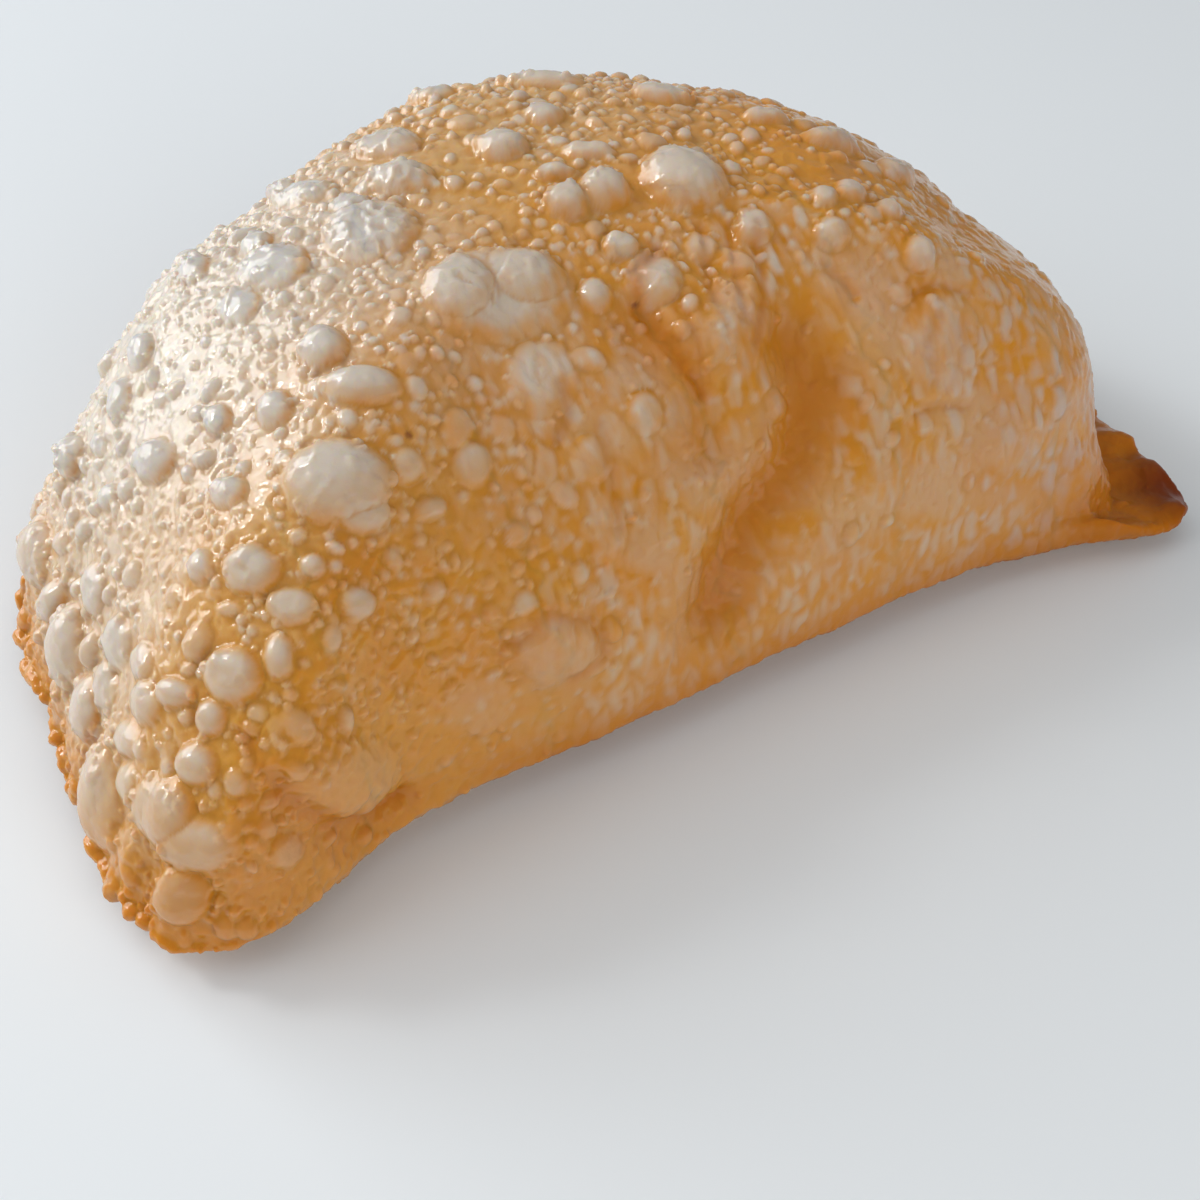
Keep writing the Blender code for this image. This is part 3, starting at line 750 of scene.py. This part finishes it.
# The blisters are pale, softer in the shade and mottled down the face; painted shade makes them less
# pale low down and in the creases.
softened = neighbours_mean(crust.data, pale, SOFT_ROUNDS)
mottling = MOTTLING * lumps(skin * CELL_STRETCH, MOTTLING_SIZE, 95)
pale = np.clip(pale + (softened - pale) * shaded + mottling * face_side, 0, 1)
frost = smooth(0.5 + lumps(skin, FROST_SIZE, 70)) * np.maximum(face_side, 0.5 * right_end)
frost = frost * rising(level, *FROST_UP)
pale = np.maximum(pale, 0.5 * frost)
pale = pale * (1 - 0.7 * falling(level, *FACE_LOW_UP) * face_side - 0.5 * low * (1 - face_side))
pale = pale * (1 - 0.3 * left_low) * (1 - 0.6 * left_rim) * (1 - 0.6 * lowest) * (1 - 0.7 * crease)
# Painted top light: blister tops that face upwards are painted milkier, less so low down and at the right
# end.
milky_top_light = rising(normals[:, 2], *MILKY_TURNED) * (1 - 0.8 * low) * (1 - 0.8 * right_end)
# Painted shade: blister tops on the right of the shaded face are painted a darker, cooler tan.
painted_right_shade = face_side * right_end

# The hollows between them are deep golden, browner dough with painted shade beside the blisters, and
# the oily gloss is weaker on the darker lower edge.
proud = raised * above_table + small_lift
hollow_gold_and_shade = smooth((neighbours_mean(crust.data, proud, HOLLOW_ROUNDS) - proud) / HOLLOW_DEPTH)
hollow_gold_and_shade = hollow_gold_and_shade * (1 - 0.3 * face_side) * (1 - 0.55 * cream_and_window_light)
gloss = 0.8 - 0.65 * browned_and_shaded * low - 0.15 * face_side

write_points(crust.data, skin)
normals = read_vectors(crust.data, "normal")
looks = {
    "pale": pale, "browned_and_shaded": browned_and_shaded, "toast": toast, "cream_and_window_light": cream_and_window_light, "hollow_gold_and_shade": hollow_gold_and_shade, "milky_top_light": milky_top_light,
    "painted_window_light": painted_window_light, "gloss": gloss, "painted_right_shade": painted_right_shade,
}  # fmt: skip

# The ground's colours, among them a painted-light yellow and a cream that is partly painted sheen,
# then those of the blisters' tops, with painted top light and shade, then of what the oil has browned
# and painted shade has darkened.
GOLD = (0.62, 0.275, 0.026, 1)
ORANGE = (0.60, 0.235, 0.010, 1)
PAINTED_LIGHT_YELLOW = (0.62, 0.34, 0.07, 1)
CREAM_AND_SHEEN = (0.67, 0.613, 0.523, 1)
CREAM_TOP_AND_SHEEN = (0.57, 0.555, 0.53, 1)
MILKY_TOP_LIGHT = (0.60, 0.555, 0.49, 1)
PALE_TAN = (0.565, 0.435, 0.315, 1)
RIGHT_SHADE_TAN = (0.49, 0.405, 0.365, 1)
EDGE_GOLD_AND_SHADE = (0.50, 0.162, 0.002, 1)
DEEP_GOLD_AND_SHADE = (0.55, 0.225, 0.008, 1)
BROWN = (0.15, 0.015, 0.001, 1)
CREAM_AND_LIGHT_SHARE = 0.94  # how strongly each look takes over where it is greatest
PALE_SHARE = 0.85
HOLLOW_SHARE = 0.55
BROWN_AND_SHADE_SHARE = 0.95
TOAST_SHARE = 0.9
SHADES_SCALE = 80  # of the ground's slow change from gold to orange
GRAIN_SCALE = 500
NOISE_RANGE = (0.35, 0.65)


def link(tree, start, end):
    """Joins one socket to another."""
    tree.links.new(start, end)


def mixed(tree, factor, first, second):
    """A colour mixed from two, each a colour or a socket, by a socket from 0 to 1."""
    mix = tree.nodes.new("ShaderNodeMix")
    mix.data_type = "RGBA"
    link(tree, factor, mix.inputs[0])
    for socket, value in ((mix.inputs[6], first), (mix.inputs[7], second)):
        if isinstance(value, tuple):
            socket.default_value = value
        else:
            link(tree, value, socket)
    return mix.outputs[2]


def attribute_value(tree, name, share=1.0):
    """One of the looks worked out above, times a share."""
    node = tree.nodes.new("ShaderNodeAttribute")
    node.attribute_name = name
    weaker = tree.nodes.new("ShaderNodeMath")
    weaker.operation = "MULTIPLY"
    weaker.inputs[1].default_value = share
    link(tree, node.outputs["Fac"], weaker.inputs[0])
    return weaker.outputs[0]


def noise_value(tree, scale, detail):
    """Noise on the object's own coordinates, stretched from its usual range to 0 to 1."""
    place = tree.nodes.new("ShaderNodeTexCoord")
    noise = tree.nodes.new("ShaderNodeTexNoise")
    noise.inputs["Scale"].default_value = scale
    noise.inputs["Detail"].default_value = detail
    link(tree, place.outputs["Object"], noise.inputs["Vector"])
    spread = tree.nodes.new("ShaderNodeMapRange")
    spread.inputs["From Min"].default_value = NOISE_RANGE[0]
    spread.inputs["From Max"].default_value = NOISE_RANGE[1]
    link(tree, noise.outputs["Fac"], spread.inputs["Value"])
    return spread.outputs["Result"]


crust_material = bpy.data.materials.new("fried_crust")
crust_material.use_nodes = True
tree = crust_material.node_tree
shader = tree.nodes["Principled BSDF"]
fine = noise_value(tree, GRAIN_SCALE, 3)
ground = mixed(tree, noise_value(tree, SHADES_SCALE, 4), GOLD, ORANGE)
# Painted light: the ground is yellower where lit, and creamier towards the window, partly painted sheen.
ground = mixed(tree, attribute_value(tree, "painted_window_light"), ground, PAINTED_LIGHT_YELLOW)
ground = mixed(tree, attribute_value(tree, "cream_and_window_light", CREAM_AND_LIGHT_SHARE), ground, CREAM_AND_SHEEN)
# Painted shade and painted top light: the tops are a darker cool tan on the shaded right, milkier facing
# up.
tops = mixed(tree, attribute_value(tree, "painted_right_shade"), PALE_TAN, RIGHT_SHADE_TAN)
tops = mixed(tree, attribute_value(tree, "milky_top_light"), tops, MILKY_TOP_LIGHT)
tops = mixed(tree, attribute_value(tree, "cream_and_window_light"), tops, CREAM_TOP_AND_SHEEN)
skin_colour = mixed(tree, attribute_value(tree, "pale", PALE_SHARE), ground, tops)
skin_colour = mixed(tree, attribute_value(tree, "hollow_gold_and_shade", HOLLOW_SHARE), skin_colour, DEEP_GOLD_AND_SHADE)
skin_colour = mixed(tree, attribute_value(tree, "browned_and_shaded", BROWN_AND_SHADE_SHARE), skin_colour, EDGE_GOLD_AND_SHADE)
skin_colour = mixed(tree, attribute_value(tree, "toast", TOAST_SHARE), skin_colour, BROWN)
link(tree, skin_colour, shader.inputs["Base Color"])
shader.inputs["Roughness"].default_value = 0.42
link(tree, attribute_value(tree, "gloss"), shader.inputs["Coat Weight"])
shader.inputs["Coat IOR"].default_value = 1.6
shader.inputs["Coat Roughness"].default_value = 0.13
shader.inputs["Specular IOR Level"].default_value = 0.15
shader.inputs["Subsurface Weight"].default_value = 0.6
shader.inputs["Subsurface Radius"].default_value = (1.0, 0.55, 0.16)
shader.inputs["Subsurface Scale"].default_value = 0.0018
bump = tree.nodes.new("ShaderNodeBump")
bump.inputs["Strength"].default_value = 0.2
bump.inputs["Distance"].default_value = 0.0003
link(tree, fine, bump.inputs["Height"])
link(tree, bump.outputs["Normal"], shader.inputs["Normal"])

# ---------------------------------------------------------------- the crust's pieces
# The crust is cut across into pieces, since one mesh would have too many faces. The cuts run between
# the blisters, and the pieces keep the whole crust's normals, so that no cut shows.

PIECE_TRIANGLES = 175_000
CUT_REACH = 6.0  # this near a cut, a point goes where the middle of its blister goes
corners = np.empty(4 * len(crust.data.polygons), np.int32)
crust.data.polygons.foreach_get("vertices", corners)
corners = corners.reshape(-1, 4)
piece_count = math.ceil(2 * len(corners) / PIECE_TRIANGLES)
cuts = np.quantile(skin[corners[:, 0], 0], np.arange(1, piece_count) / piece_count)
middles = np.concatenate([np.array(places)[:, :3], skin[cell_middles]])
blister_tree = kdtree.KDTree(len(middles))
for number, middle in enumerate(middles):
    blister_tree.insert(middle, number)
blister_tree.balance()
along_crust = skin[:, 0].copy()
for number in np.flatnonzero(np.abs(along_crust[:, None] - cuts).min(1) < CUT_REACH):
    nearest, _, gap = blister_tree.find(skin[number])
    if gap < CUT_REACH / 2:
        along_crust[number] = nearest[0]
piece_of_face = np.searchsorted(cuts, along_crust)[corners[:, 0]]
bpy.data.objects.remove(crust)

for piece in range(piece_count):
    faces = corners[piece_of_face == piece]
    used, renumbered = np.unique(faces, return_inverse=True)
    mesh = bpy.data.meshes.new(f"crust_{piece + 1}")
    mesh.vertices.add(len(used))
    mesh.loops.add(faces.size)
    mesh.loops.foreach_set("vertex_index", renumbered.astype(np.int32).ravel())
    mesh.polygons.add(len(faces))
    mesh.polygons.foreach_set("loop_start", np.arange(0, faces.size, 4, dtype=np.int32))
    write_points(mesh, skin[used])
    mesh.update(calc_edges=True)
    mesh.shade_smooth()
    mesh.normals_split_custom_set_from_vertices(normals[used].tolist())
    for name, values in looks.items():
        attribute = mesh.attributes.new(name, "FLOAT", "POINT")
        attribute.data.foreach_set("value", values[used].astype(np.float32))
    mesh.materials.append(crust_material)
    crust_piece = bpy.data.objects.new(mesh.name, mesh)
    bpy.context.scene.collection.objects.link(crust_piece)
    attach(crust_piece, "root")
    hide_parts("cheburek")

# ---------------------------------------------------------------- the studio
# A pale floor and a pale sky. A broad window and a small lamp stand on the left behind the turnover,
# and three soft lights that its gloss doesn't mirror fill in the rest.

FLOOR_COLOUR = (0.79, 0.84, 0.885, 1)
SKY_COLOUR = (1.0, 0.99, 0.98, 1)
SKY_STRENGTH = 0.22

bpy.ops.mesh.primitive_plane_add(size=6.0, location=(0, 0, 0))
floor = bpy.context.object
floor.name = "floor"
floor_material = bpy.data.materials.new("pale_floor")
floor_material.use_nodes = True
floor_shader = floor_material.node_tree.nodes["Principled BSDF"]
floor_shader.inputs["Base Color"].default_value = FLOOR_COLOUR
floor_shader.inputs["Roughness"].default_value = 0.6
floor.data.materials.append(floor_material)


def soft_light(name, place, size, watts, colour, mirrored=True):
    """A square light that faces the turnover, and may be left out of its gloss."""
    bpy.ops.object.light_add(type="AREA", location=place)
    light = bpy.context.object
    light.name = name
    light.data.size = size
    light.data.energy = watts
    light.data.color = colour
    light.rotation_euler = Vector(place).to_track_quat("Z", "Y").to_euler()
    light.visible_glossy = mirrored


soft_light("window", (-0.65, 1.15, 0.65), 1.0, 11.4, (1.0, 1.0, 1.0))
soft_light("lamp", (-0.75, 0.75, 0.95), 0.25, 3, (1.0, 0.99, 0.97))
soft_light("side_window", (-1.2, 0.3, 0.8), 0.9, 4.6, (1.0, 1.0, 1.0), mirrored=False)
soft_light("sky", (-0.2, 0.2, 1.6), 2.0, 6, (0.97, 0.99, 1.0), mirrored=False)
soft_light("bounce", (0.0, -1.0, 0.5), 0.8, 5.2, (1.0, 0.96, 0.9), mirrored=False)

world = bpy.data.worlds.new("pale_sky")
bpy.context.scene.world = world
world.use_nodes = True
world.node_tree.nodes["Background"].inputs["Color"].default_value = SKY_COLOUR
world.node_tree.nodes["Background"].inputs["Strength"].default_value = SKY_STRENGTH
bpy.context.scene.view_settings.view_transform = "Standard"
